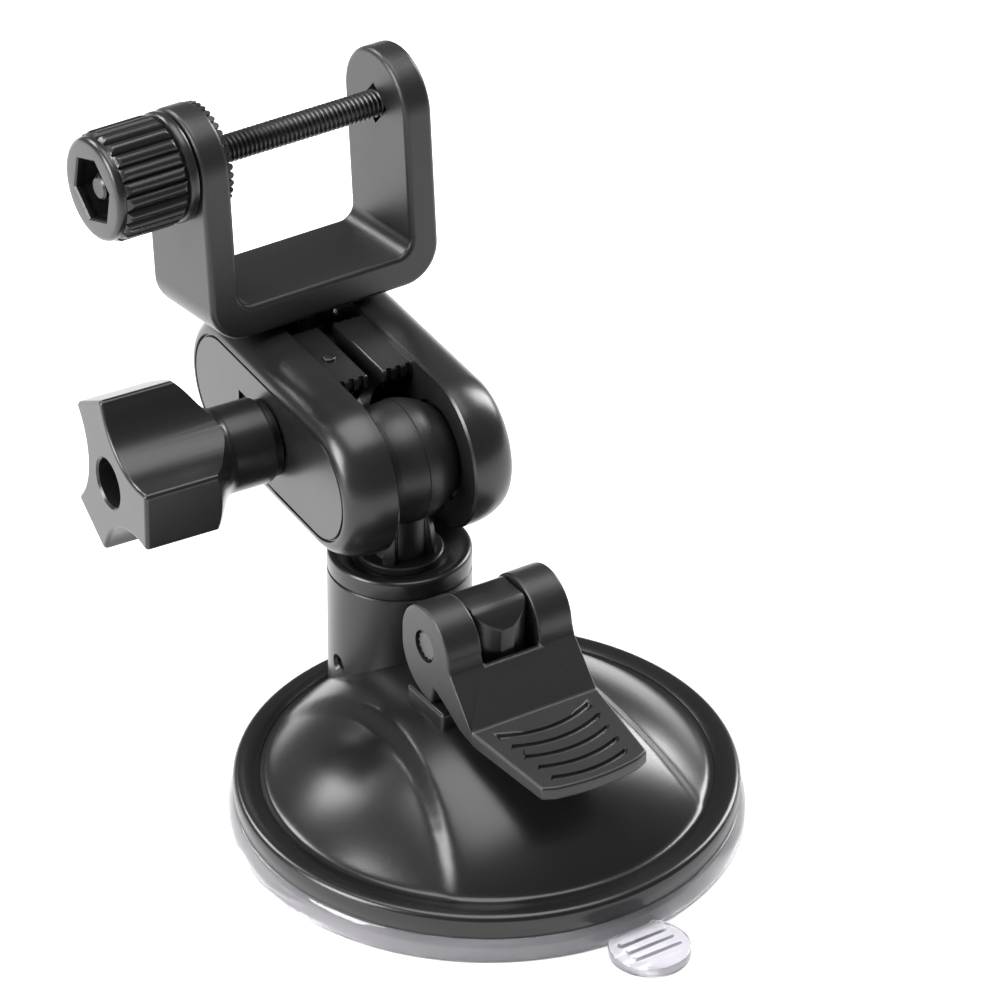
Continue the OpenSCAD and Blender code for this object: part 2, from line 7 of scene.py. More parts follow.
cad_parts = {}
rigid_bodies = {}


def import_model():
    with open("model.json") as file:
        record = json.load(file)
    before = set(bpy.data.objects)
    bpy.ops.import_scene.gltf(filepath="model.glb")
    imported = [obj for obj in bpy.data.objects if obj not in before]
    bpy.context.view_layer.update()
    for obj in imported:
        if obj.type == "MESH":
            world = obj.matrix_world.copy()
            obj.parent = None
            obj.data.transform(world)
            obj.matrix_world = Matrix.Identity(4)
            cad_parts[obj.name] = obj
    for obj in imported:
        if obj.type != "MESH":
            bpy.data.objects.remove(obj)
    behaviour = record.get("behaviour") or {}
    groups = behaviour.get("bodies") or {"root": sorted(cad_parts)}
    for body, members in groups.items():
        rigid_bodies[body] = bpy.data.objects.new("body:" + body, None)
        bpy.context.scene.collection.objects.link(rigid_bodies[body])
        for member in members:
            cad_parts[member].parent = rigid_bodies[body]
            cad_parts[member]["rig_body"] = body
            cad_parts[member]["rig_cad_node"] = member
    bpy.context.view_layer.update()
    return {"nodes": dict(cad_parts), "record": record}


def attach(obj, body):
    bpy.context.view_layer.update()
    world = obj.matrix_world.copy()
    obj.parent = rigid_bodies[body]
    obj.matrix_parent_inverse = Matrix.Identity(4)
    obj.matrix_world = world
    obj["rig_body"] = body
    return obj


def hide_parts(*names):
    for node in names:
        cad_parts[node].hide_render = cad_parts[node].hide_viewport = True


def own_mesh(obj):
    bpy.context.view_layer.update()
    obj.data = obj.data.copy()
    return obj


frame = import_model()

MM = 0.001


# ------------------------------------------------------------------ modelling helpers

def start_clean():
    if bpy.context.object is not None and bpy.context.object.mode != "OBJECT":
        bpy.ops.object.mode_set(mode="OBJECT")
    bpy.ops.object.select_all(action="DESELECT")


def take(piece):
    start_clean()
    piece.select_set(True)
    bpy.context.view_layer.objects.active = piece


def edit(piece, mode="VERT"):
    take(piece)
    bpy.ops.object.mode_set(mode="EDIT")
    bpy.ops.mesh.select_mode(type=mode)
    bpy.ops.mesh.select_all(action="DESELECT")


def done():
    bpy.ops.object.mode_set(mode="OBJECT")


def apply(piece, kind, name, **values):
    take(piece)
    m = piece.modifiers.new(name, kind)
    for key, value in values.items():
        setattr(m, key, value)
    bpy.ops.object.modifier_apply(modifier=m.name)


def make_smooth(piece, angle=35):
    take(piece)
    bpy.ops.object.shade_smooth_by_angle(angle=math.radians(angle))
    apply(piece, "WEIGHTED_NORMAL", "even shading", keep_sharp=True)


def moulding(node, name, edge=0.3, steps=3, angle=28, flat=0.6):
    """A merged copy of a CAD node with its sharp edges rounded."""
    src = frame["nodes"][node]
    piece = src.copy()
    piece.data = src.data.copy()
    piece.name = name
    piece.data.name = name
    piece.parent = None
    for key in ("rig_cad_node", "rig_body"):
        if key in piece:
            del piece[key]
    piece.data.materials.clear()
    bpy.context.scene.collection.objects.link(piece)
    edit(piece)
    bpy.ops.mesh.customdata_custom_splitnormals_clear()
    bpy.ops.mesh.select_all(action="SELECT")
    bpy.ops.mesh.remove_doubles(threshold=0.003 * MM)
    bpy.ops.mesh.dissolve_limited(angle_limit=math.radians(flat))
    done()
    if edge:
        apply(piece, "BEVEL", "rounded edges", width=edge * MM, segments=steps, limit_method="ANGLE",
              angle_limit=math.radians(angle), use_clamp_overlap=True, miter_outer="MITER_ARC")
    take(piece)
    bpy.ops.object.shade_smooth_by_angle(angle=math.radians(32))
    return piece


def fit(piece, body, slot, material, *nodes):
    piece.data.materials.clear()
    piece.data.materials.append(material)
    for p in piece.data.polygons:
        p.material_index = 0
    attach(piece, body)
    if nodes:
        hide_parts(*nodes)


def named(name):
    piece = bpy.context.object
    piece.name = name
    piece.data.name = name
    return piece


def block(name, x, y, z):
    """A box between the given pairs of limits."""
    start_clean()
    bpy.ops.mesh.primitive_cube_add(size=2, location=(0, 0, 0))
    piece = named(name)
    edit(piece)
    bpy.ops.mesh.select_all(action="SELECT")
    half = [(hi - lo) / 2 * MM for lo, hi in (x, y, z)]
    middle = [(hi + lo) / 2 * MM for lo, hi in (x, y, z)]
    bpy.ops.transform.resize(value=half, center_override=(0, 0, 0))
    bpy.ops.transform.translate(value=middle)
    done()
    return piece


def bar(name, axis, radius, start, end, middle=(0, 0), sides=96, turn=0, far_radius=None):
    """A round or many-sided bar along one axis; middle is its place on the other two."""
    start_clean()
    bpy.ops.mesh.primitive_cone_add(vertices=sides, radius1=radius * MM, depth=(end - start) * MM,
                                    radius2=(radius if far_radius is None else far_radius) * MM)
    piece = named(name)
    centre = (start + end) / 2
    spin = Matrix.Rotation(math.radians(turn), 4, "Z")
    if axis == "X":
        move = Matrix.Translation(Vector((centre, middle[0], middle[1])) * MM) @ ABOUT_X
    elif axis == "Y":
        move = Matrix.Translation(Vector((middle[0], centre, middle[1])) * MM) @ ABOUT_Y
    else:
        move = Matrix.Translation(Vector((middle[0], middle[1], centre)) * MM)
    place(piece, move @ spin)
    return piece


def chain(name, points, closed=False):
    """A line of edges through the points, drawn by extruding one vertex."""
    start_clean()
    bpy.ops.mesh.primitive_plane_add(size=MM, location=(0, 0, 0))
    piece = named(name)
    edit(piece)
    bpy.ops.mesh.select_all(action="SELECT")
    bpy.ops.mesh.merge(type="CENTER")
    points = [Vector(p) * MM for p in points]
    bpy.ops.transform.translate(value=points[0])
    if closed:
        points.append(points[0])
    for before, after in zip(points, points[1:]):
        bpy.ops.mesh.extrude_vertices_move(TRANSFORM_OT_translate={"value": after - before})
    bpy.ops.mesh.select_all(action="SELECT")
    bpy.ops.mesh.remove_doubles(threshold=1e-4 * MM)
    if closed:
        bpy.ops.mesh.edge_face_add()
    return piece


def prism(name, outline, direction):
    """A closed outline pushed along a direction."""
    piece = chain(name, outline, closed=True)
    bpy.ops.mesh.extrude_region_move(TRANSFORM_OT_translate={"value": Vector(direction) * MM})
    bpy.ops.mesh.select_all(action="SELECT")
    bpy.ops.mesh.normals_make_consistent(inside=False)
    done()
    return piece


def turned(name, profile, steps=128, move=None):
    """A profile of [radius, height] spun about Z, then moved."""
    piece = chain(name, [(r, 0, z) for r, z in profile])
    bpy.ops.mesh.spin(steps=steps, angle=2 * math.pi, center=(0, 0, 0), axis=(0, 0, 1))
    bpy.ops.mesh.select_all(action="SELECT")
    bpy.ops.mesh.remove_doubles(threshold=1e-3 * MM)
    bpy.ops.mesh.normals_make_consistent(inside=False)
    done()
    if move is not None:
        place(piece, move)
    return piece


def place(piece, matrix):
    take(piece)
    piece.matrix_world = matrix
    bpy.ops.object.transform_apply(location=True, rotation=True, scale=True)


def combine(piece, tool, how):
    apply(piece, "BOOLEAN", how.lower(), operation=how, object=tool, solver="EXACT")
    mesh = tool.data
    bpy.data.objects.remove(tool)
    bpy.data.meshes.remove(mesh)


def cut(piece, *tools):
    for tool in tools:
        combine(piece, tool, "DIFFERENCE")


def keep(piece, tool):
    combine(piece, tool, "INTERSECT")


def gather(piece, *others):
    take(piece)
    for other in others:
        other.select_set(True)
    bpy.ops.object.join()


def pick(piece, kind, test):
    """Selects edges or faces by where they lie, leaving the piece in edit mode."""
    edit(piece, kind)
    done()
    mesh = piece.data
    for item in (mesh.edges if kind == "EDGE" else mesh.polygons):
        item.select = test([mesh.vertices[i].co / MM for i in item.vertices])
    bpy.ops.object.mode_set(mode="EDIT")


def bevel_picked(piece, test, width, steps):
    pick(piece, "EDGE", test)
    bpy.ops.mesh.bevel(offset=width * MM, segments=steps, affect="EDGES", clamp_overlap=False)
    done()


def round_edges(piece, width, steps=3, angle=32):
    apply(piece, "BEVEL", "rounded edges", width=width * MM, segments=steps, limit_method="ANGLE",
          angle_limit=math.radians(angle), use_clamp_overlap=False, miter_outer="MITER_ARC")


def bevel_sharp(piece, width, steps, angle, spared):
    """Rounds the sharp edges, except the spared ones."""
    edit(piece, "EDGE")
    bpy.ops.mesh.edges_select_sharp(sharpness=math.radians(angle))
    done()
    for edge in piece.data.edges:
        if edge.select and spared([piece.data.vertices[i].co / MM for i in edge.vertices]):
            edge.select = False
    bpy.ops.object.mode_set(mode="EDIT")
    bpy.ops.mesh.bevel(offset=width * MM, segments=steps, affect="EDGES", clamp_overlap=False)
    done()


def near(value, target, slack=0.02):
    return abs(value - target) < slack


ABOUT_X = Matrix.Rotation(math.radians(90), 4, "Y")
ABOUT_Y = Matrix.Rotation(math.radians(-90), 4, "X")
JOINT = {j["name"]: j for j in frame["record"]["behaviour"]["joints"]}


def frame_at(origin, x_axis, z_axis):
    x_axis = Vector(x_axis).normalized()
    y_axis = Vector(z_axis).cross(x_axis).normalized()
    z_axis = x_axis.cross(y_axis)
    return Matrix.Translation(origin) @ Matrix((x_axis, y_axis, z_axis)).transposed().to_4x4()


LOWER_BALL = Vector(JOINT["arm_pitch"]["pos_m"])
UPPER_BALL = Vector(JOINT["bracket_pitch"]["pos_m"])
ROD_MIDDLE = Vector(JOINT["thumb_turn"]["pos_m"])
ARM = frame_at(LOWER_BALL, JOINT["arm_pitch"]["axis"], (0, 0, 1))
BRACKET = frame_at(UPPER_BALL, -Vector(JOINT["thumb_turn"]["axis"]), ROD_MIDDLE - UPPER_BALL)
ROD = frame_at(ROD_MIDDLE, -Vector(JOINT["thumb_turn"]["axis"]), ROD_MIDDLE - UPPER_BALL)
ROD_Z = (ROD_MIDDLE - UPPER_BALL).length / MM
ARM_LENGTH = (UPPER_BALL - LOWER_BALL).length / MM
COLUMN_Y = LOWER_BALL.y / MM
PIN_Z = JOINT["lever_hinge"]["pos_m"][2] / MM

# ------------------------------------------------------------------ materials

def new_material(name):
    m = bpy.data.materials.new(name)
    m.use_nodes = True
    tree = m.node_tree
    shader = tree.nodes["Principled BSDF"]
    return m, tree, shader


def node(tree, kind, **values):
    n = tree.nodes.new(kind)
    for key, value in values.items():
        if key in n.inputs:
            n.inputs[key].default_value = value
        else:
            setattr(n, key, value)
    return n


def plastic(name, colour, rough, grain=0.16, depth=0.02, wave=0.5, spec=0.5):
    """Moulded black plastic: fine spark-eroded grain, slow changes in gloss."""
    m, tree, shader = new_material(name)
    link = tree.links.new
    coord = node(tree, "ShaderNodeTexCoord")
    fine = node(tree, "ShaderNodeTexNoise", Scale=1 / (grain * MM), Detail=3.0, Roughness=0.6)
    slow = node(tree, "ShaderNodeTexNoise", Scale=1 / (9 * MM), Detail=3.0, Roughness=0.55)
    for n in (fine, slow):
        link(coord.outputs["Object"], n.inputs["Vector"])
    bump = node(tree, "ShaderNodeBump", Strength=1.0, Distance=depth * MM)
    link(fine.outputs["Fac"], bump.inputs["Height"])
    link(bump.outputs["Normal"], shader.inputs["Normal"])
    gloss = node(tree, "ShaderNodeMapRange")
    gloss.inputs["To Min"].default_value = rough - 0.05 * wave
    gloss.inputs["To Max"].default_value = rough + 0.07 * wave
    link(slow.outputs["Fac"], gloss.inputs["Value"])
    link(gloss.outputs["Result"], shader.inputs["Roughness"])
    tint = node(tree, "ShaderNodeMix", data_type="RGBA")
    dark = [c * 0.82 for c in colour] + [1]
    light = [c * 1.2 for c in colour] + [1]
    tint.inputs[6].default_value = dark
    tint.inputs[7].default_value = light
    link(fine.outputs["Fac"], tint.inputs[0])
    link(tint.outputs[2], shader.inputs["Base Color"])
    shader.inputs["Specular IOR Level"].default_value = spec
    return m


def metal(name, colour, rough, scratch=0.3):
    m, tree, shader = new_material(name)
    link = tree.links.new
    coord = node(tree, "ShaderNodeTexCoord")
    fine = node(tree, "ShaderNodeTexNoise", Scale=1 / (0.3 * MM), Detail=4.0, Roughness=0.65)
    link(coord.outputs["Object"], fine.inputs["Vector"])
    gloss = node(tree, "ShaderNodeMapRange")
    gloss.inputs["To Min"].default_value = rough - 0.1 * scratch
    gloss.inputs["To Max"].default_value = rough + 0.5 * scratch
    link(fine.outputs["Fac"], gloss.inputs["Value"])
    link(gloss.outputs["Result"], shader.inputs["Roughness"])
    bump = node(tree, "ShaderNodeBump", Strength=0.4, Distance=0.01 * MM)
    link(fine.outputs["Fac"], bump.inputs["Height"])
    link(bump.outputs["Normal"], shader.inputs["Normal"])
    tint = node(tree, "ShaderNodeMix", data_type="RGBA")
    tint.inputs[6].default_value = [c * 0.8 for c in colour] + [1]
    tint.inputs[7].default_value = [c * 1.15 for c in colour] + [1]
    link(fine.outputs["Fac"], tint.inputs[0])
    link(tint.outputs[2], shader.inputs["Base Color"])
    shader.inputs["Metallic"].default_value = 1.0
    return m


def clear_soft(name):
    m, tree, shader = new_material(name)
    link = tree.links.new
    coord = node(tree, "ShaderNodeTexCoord")
    slow = node(tree, "ShaderNodeTexNoise", Scale=1 / (6 * MM), Detail=2.0)
    link(coord.outputs["Object"], slow.inputs["Vector"])
    gloss = node(tree, "ShaderNodeMapRange")
    gloss.inputs["To Min"].default_value = 0.05
    gloss.inputs["To Max"].default_value = 0.16
    link(slow.outputs["Fac"], gloss.inputs["Value"])
    link(gloss.outputs["Result"], shader.inputs["Roughness"])
    tint = node(tree, "ShaderNodeMix", data_type="RGBA")
    tint.inputs[6].default_value = (0.86, 0.84, 0.9, 1)
    tint.inputs[7].default_value = (0.93, 0.92, 0.95, 1)
    link(slow.outputs["Fac"], tint.inputs[0])
    link(tint.outputs[2], shader.inputs["Base Color"])
    shader.inputs["Transmission Weight"].default_value = 0.9
    shader.inputs["IOR"].default_value = 1.45
    return m


black_grain = plastic("black plastic fine grain", (0.0095, 0.0095, 0.01), 0.36,
                      grain=0.2, depth=0.024, spec=0.44)
black_smooth = plastic("black plastic smooth", (0.0085, 0.0085, 0.009), 0.28,
                       grain=0.26, depth=0.011, spec=0.46)
black_dome = plastic("black plastic dome", (0.007, 0.007, 0.0075), 0.25, grain=0.3, depth=0.009, spec=0.44)
dark_plastic = plastic("dark plastic", (0.009, 0.009, 0.0095), 0.3, grain=0.3, depth=0.006, spec=0.4)
rod_black = metal("blackened steel", (0.06, 0.06, 0.062), 0.3, 0.3)
pin_steel = metal("dull steel", (0.12, 0.12, 0.12), 0.4, 0.4)
zinc_steel = metal("zinc plated steel", (0.4, 0.4, 0.42), 0.3, 0.3)
brass = metal("brass", (0.55, 0.4, 0.15), 0.3, 0.3)
black_washer = metal("black washer", (0.03, 0.03, 0.032), 0.35, 0.2)
clear_pad = clear_soft("clear soft pad")

# ------------------------------------------------------------------ suction cup

SHELL_Z = 3.3
RIM_TOP = 6.7
FOOT_R = 30
DOME_TOP = 20
LOBE_TOP = 18.5
SHELL_R = 34.2
CAVITY_R = 27.1
WALL = 2
RAMP_R = 70
RAMP_MIDDLE = (83.6, 4)
COLUMN_R = 9.9
PIN_HOLE_Z = 14
LEVER_HALF_W = 9.8
SEAT_TOP = 21.2


def arc(cx, cy, radius, start, end, steps):
    turns = [math.radians(start + (end - start) * i / steps) for i in range(steps + 1)]
    return [(cx + radius * math.cos(t), cy + radius * math.sin(t)) for t in turns]


def crown(name, top, edge_r):
    """The cap of a sphere that meets the rim at edge_r."""
    rise = top - RIM_TOP
    radius = (edge_r ** 2 + rise ** 2) / (2 * rise)
    half = math.degrees(math.asin(edge_r / radius))
    cap = arc(0, top - radius, radius, 90 - half, 90, 110)
    return turned(name, [(edge_r, RIM_TOP - 3)] + cap[:-1] + [(0, top)], 300)


def cup_dome():
    form = crown("lobe_form", LOBE_TOP, FOOT_R - 0.4)
    steps = 6
    for i in range(steps):
        share = i / steps
        level = crown("ramp_step", DOME_TOP - (DOME_TOP - LOBE_TOP) * share, FOOT_R - 0.4 * share)
        for side in (-1, 1):
            ramp = (side * (RAMP_MIDDLE[0] + 0.27 * i), RAMP_MIDDLE[1])
            cut(level, bar("ramp_cutter", "Z", RAMP_R, 0, 30, ramp, sides=360))
        gather(form, level)
    ledge = turned("ledge_form", [(33, RIM_TOP - 0.14), (0, RIM_TOP - 0.14)], 64)
    gather(form, ledge)
    radii = [FOOT_R + 1.7 - 0.27 * i for i in range(117)]
    skin = turned("cup_dome", [(r, 40) for r in radii if r > 0.1] + [(0, 40)], 320)
    apply(skin, "SHRINKWRAP", "laid on the form", target=form, wrap_method="PROJECT", use_project_z=True,
          use_negative_direction=True, use_positive_direction=False)
    apply(skin, "SMOOTH", "softened ramps", factor=0.5, iterations=12)
    mesh = form.data
    bpy.data.objects.remove(form)
    bpy.data.meshes.remove(mesh)
    edit(skin)
    bpy.ops.mesh.select_all(action="SELECT")
    bpy.ops.mesh.normals_make_consistent(inside=False)
    done()
    inner_rise = LOBE_TOP - WALL - RIM_TOP
    inner_r = (CAVITY_R ** 2 + inner_rise ** 2) / (2 * inner_rise)
    half = math.degrees(math.asin(CAVITY_R / inner_r))
    hollow = arc(0, LOBE_TOP - WALL - inner_r, inner_r, 90 - half, 90, 14)
    rim = turned("rim", [
        (FOOT_R + 0.6, RIM_TOP - 0.5), (FOOT_R + 0.6, RIM_TOP - 0.12), (FOOT_R + 0.72, RIM_TOP),
        (33.35, RIM_TOP), (33.75, RIM_TOP - 0.1), (34.05, RIM_TOP - 0.36), (SHELL_R, RIM_TOP - 0.75),
        (SHELL_R, SHELL_Z + 0.25), (34.05, SHELL_Z + 0.02), (27.5, SHELL_Z + 0.02),
        (CAVITY_R, RIM_TOP)] + hollow[1:], 256)
    for part in (skin, rim):
        take(part)
        bpy.ops.object.shade_smooth_by_angle(angle=math.radians(50))
    return skin, rim


def column():
    tube = turned("column_tube", [
        (4.97, 8), (4.97, 24.4), (7.6, 24.4), (7.6, 27.2), (9.72, 27.2),
        (COLUMN_R, 27.02), (COLUMN_R, 6), (4.97, 8)],
        144, Matrix.Translation((0, COLUMN_Y * MM, 0)))
    hole = (COLUMN_Y, PIN_HOLE_Z)
    cut(tube, bar("pin_hole", "X", 1.0, -11, -4, hole, 32),
        bar("pin_mouth", "X", 1.5, -9.95, -9.35, hole, 32, far_radius=1.0))
    make_smooth(tube)
    return tube


def cam_seat():
    seat = block("cam_seat", (-LEVER_HALF_W, LEVER_HALF_W), (-4.5, 4.5), (12, SEAT_TOP))
    round_edges(seat, 0.5, 3)
    cut(seat, bar("post_hole", "Z", 5.2, 5, 25, sides=64))
    make_smooth(seat)
    return seat


def collar_ring():
    ring = turned("collar_ring", [
        (5.05, 24.5), (7.55, 24.5), (7.55, 27.3), (9.7, 27.3), (COLUMN_R, 27.5), (COLUMN_R, 29.5),
        (9.82, 29.8),
        (9.6, 30.02), (9.25, 30.1), (8.85, 30.05), (8.5, 29.9), (6.9, 28.95), (6.5, 28.8), (5.05, 28.8),
        (5.05, 24.5)], 144, Matrix.Translation((0, COLUMN_Y * MM, 0)))
    make_smooth(ring, 50)
    return ring


# ------------------------------------------------------------------ ball studs

BALL_R = 8.5
NECK_R = 4.0


def ball_with_neck(name, drop, up):
    """A ball with a flat textured band and a finned neck that reaches down by drop."""
    start_clean()
    bpy.ops.mesh.primitive_uv_sphere_add(segments=96, ring_count=64, radius=BALL_R * MM)
    ball = named(name)
    place(ball, ABOUT_X)
    pick(ball, "FACE", lambda v: -3.6 < sum(c.x for c in v) / len(v) < 0.35)
    bpy.ops.mesh.inset(thickness=0.06 * MM, depth=0)
    bpy.ops.transform.shrink_fatten(value=-0.14 * MM)
    done()
    neck = turned("neck", [
        (0, -drop), (NECK_R + 0.3, -drop), (NECK_R, -drop + 0.7), (NECK_R, -7.6), (4.35, -7.2), (0, -6)], 96)
    fins = []
    for turn in (45, 135):
        fin = block("fin", (-5.3, 5.3), (-0.95, 0.95), (-drop, -6.6))
        pick(fin, "FACE", lambda v: all(c.z > -7 for c in v))
        bpy.ops.transform.resize(value=(0.78, 1, 1), center_override=(0, 0, 0))
        done()
        round_edges(fin, 0.3, 3)
        place(fin, Matrix.Rotation(math.radians(turn), 4, "Z"))
        fins.append(fin)
    gather(ball, neck, *fins)
    if not up:
        place(ball, Matrix.Rotation(math.pi, 4, "X"))
    take(ball)
    bpy.ops.object.shade_smooth_by_angle(angle=math.radians(40))
    return ball


# ------------------------------------------------------------------ arm

ARM_R = 11
RIM_X = 5.7
ARM_FACE = 12.7
WEB_H = 10.2
ARM_GAP = 2.1
WEB_HOLLOW_R = 10.7
FLUTE_DEPTH = 0.4
FLUTE_W = 0.75


def arm_half(name, front):
    """A pillow-shaped half with a line round its panel, two sockets and a web between them."""
    half = bar(name, "X", ARM_R, RIM_X + 0.9, RIM_X + 3.9, sides=128)
    pick(half, "EDGE", lambda v: all(c.y > 0.05 for c in v))
    bpy.ops.transform.translate(value=(0, ARM_LENGTH * MM, 0))
    done()
    bevel_picked(half, lambda v: all(near(c.x, RIM_X + 3.9) for c in v), 2.98, 14)
    edit(half)
    bpy.ops.mesh.select_all(action="SELECT")
    start = (RIM_X + 0.9) * MM
    bpy.ops.transform.resize(value=((ARM_FACE - RIM_X - 0.9) / 3, 1, 1), center_override=(start, 0, 0))
    done()
    pick(half, "FACE", lambda v: all(near(c.x, ARM_FACE, 0.05) for c in v) and len(v) > 8)
    for thickness, depth in ((0.06, 0), (0.16, -0.4), (0.14, 0), (0.16, 0.4)):
        bpy.ops.mesh.inset(thickness=thickness * MM, depth=depth * MM)
    done()
    pick(half, "FACE", lambda v: all(near(c.x, RIM_X + 0.9) for c in v) and len(v) > 8)
    bpy.ops.mesh.extrude_region_move(TRANSFORM_OT_translate={"value": (-0.6 * MM, 0, 0)})
    bpy.ops.mesh.inset(thickness=0.3 * MM, depth=0.3 * MM)
    done()
    cut(half, *[bar("socket", "X", 7.0, 4, 6.5, (y, 0)) for y in (0, ARM_LENGTH)])
    for y in (0, ARM_LENGTH):
        start_clean()
        bpy.ops.mesh.primitive_uv_sphere_add(segments=96, ring_count=64, radius=(BALL_R + 0.05) * MM)
        socket = named("socket")
        place(socket, Matrix.Translation((0, y * MM, 0)) @ ABOUT_X)
        cut(half, socket)
    make_smooth(half, 30)

    web = block("web", (ARM_GAP / 2, RIM_X + 0.6), (6.5, ARM_LENGTH - 6.5), (-WEB_H, WEB_H))
    round_edges(web, 0.35, 3)
    for y, side in ((0, 1), (ARM_LENGTH, -1)):
        cut(web, bar("hollow", "X", WEB_HOLLOW_R, 0, 8, (y, 0), 160))
        for i in range(3):
            x = ARM_GAP / 2 + 0.7 + 1.45 * i
            cut(web, bar("flute", "X", WEB_HOLLOW_R + FLUTE_DEPTH, x, x + FLUTE_W, (y, 0), 160))
            lip = sorted((y + side * 5, y + side * 6.9))
            cut(web, block("flute", (x, x + FLUTE_W), lip, (-12, 12)))
    make_smooth(web, 30)
    parts = [web]
    if front:
        bump = bar("bump", "Z", 0.9, 9.5, WEB_H + 0.4, (RIM_X - 2, ARM_LENGTH / 2 - 1), 32)
        round_edges(bump, 0.2, 3)
        make_smooth(bump)
        place(bump, Matrix.Rotation(math.pi, 4, "Y") @ Matrix.Scale(-1, 4, (0, 0, 1)))
        edit(bump)
        bpy.ops.mesh.select_all(action="SELECT")
        bpy.ops.mesh.normals_make_consistent(inside=False)
        done()
        place(half, Matrix.Rotation(math.pi, 4, "Y"))
        place(web, Matrix.Rotation(math.pi, 4, "Y"))
        mark = ARM_LENGTH / 2 + 6.2
        cut(half, block("mark", (-ARM_FACE - 1, -ARM_FACE + 0.6), (mark, mark + 2.2), (1.4, 3.0)))
        parts.append(bump)
    gather(half, *parts)
    place(half, ARM)
    return half


# ------------------------------------------------------------------ knob

KNOB_END = -ARM_FACE - 23.9
KNOB_START = -ARM_FACE - 1.3
KNOB_R = 12.2
HUB_R = 6
END_HOLE_R = 3.45


def three_lobed_knob():
    least = HUB_R + 0.35
    far, side = KNOB_R * math.cos(math.radians(38)), KNOB_R * math.sin(math.radians(38))
    scoop = (far ** 2 + side ** 2 - least ** 2) / (2 * (far - least))
    sweep = math.degrees(math.atan2(side, scoop - far))
    outline = []
    for i in range(3):
        turn = math.radians(1 + 120 * i)
        for y, z in arc(scoop, 0, scoop - least, 180 + sweep, 180 - sweep, 20):
            outline.append((KNOB_END, y * math.cos(turn) - z * math.sin(turn),
                            y * math.sin(turn) + z * math.cos(turn)))
    knob = prism("three_lobed_knob", outline, (KNOB_START - KNOB_END, 0, 0))

    def lobe_corner(ends):
        return all(math.hypot(c.y, c.z) > KNOB_R - 0.1 for c in ends) and abs(ends[0].x - ends[1].x) > 5

    bevel_picked(knob, lobe_corner, 0.9, 4)
    hub_end, lobe_end = KNOB_START - 6, KNOB_END + 9.3
    flare = [(0, KNOB_START), (HUB_R - 0.5, KNOB_START), (HUB_R - 0.15, KNOB_START - 0.15),
             (HUB_R, KNOB_START - 0.5)]
    for i in range(13):
        t = i / 12
        flare.append((HUB_R + (KNOB_R + 0.3 - HUB_R) * (1 - math.cos(math.pi * t)) / 2,
                      hub_end + (lobe_end - hub_end) * t))
    flare += [(KNOB_R + 0.3, KNOB_END - 1), (0, KNOB_END - 1)]
    keep(knob, turned("flare", flare, 128, ABOUT_X))
    bevel_picked(knob, lambda v: all(near(c.x, KNOB_END) for c in v), 0.55, 4)
    cut(knob, bar("end_hole", "X", END_HOLE_R, KNOB_END - 1, KNOB_START - 1.6, sides=64),
        bar("end_mouth", "X", END_HOLE_R + 0.3, KNOB_END - 0.02, KNOB_END + 0.3, sides=64,
            far_radius=END_HOLE_R),
        bar("screw_hole", "X", 2.58, KNOB_START - 3, 0, sides=48))
    make_smooth(knob, 32)
    place(knob, ARM @ Matrix.Translation((0, ARM_LENGTH / 2 * MM, 0)))
    return knob


# ------------------------------------------------------------------ lever

CREASE_Y, CREASE_Z = -11.9, PIN_Z - 6.9
TIP_Y, TIP_Z = -27.8, PIN_Z - 7.8
EAR_R = 5.8
SLOT_HALF_W = 4.4
PIN_R = 1.5
SWING = 90


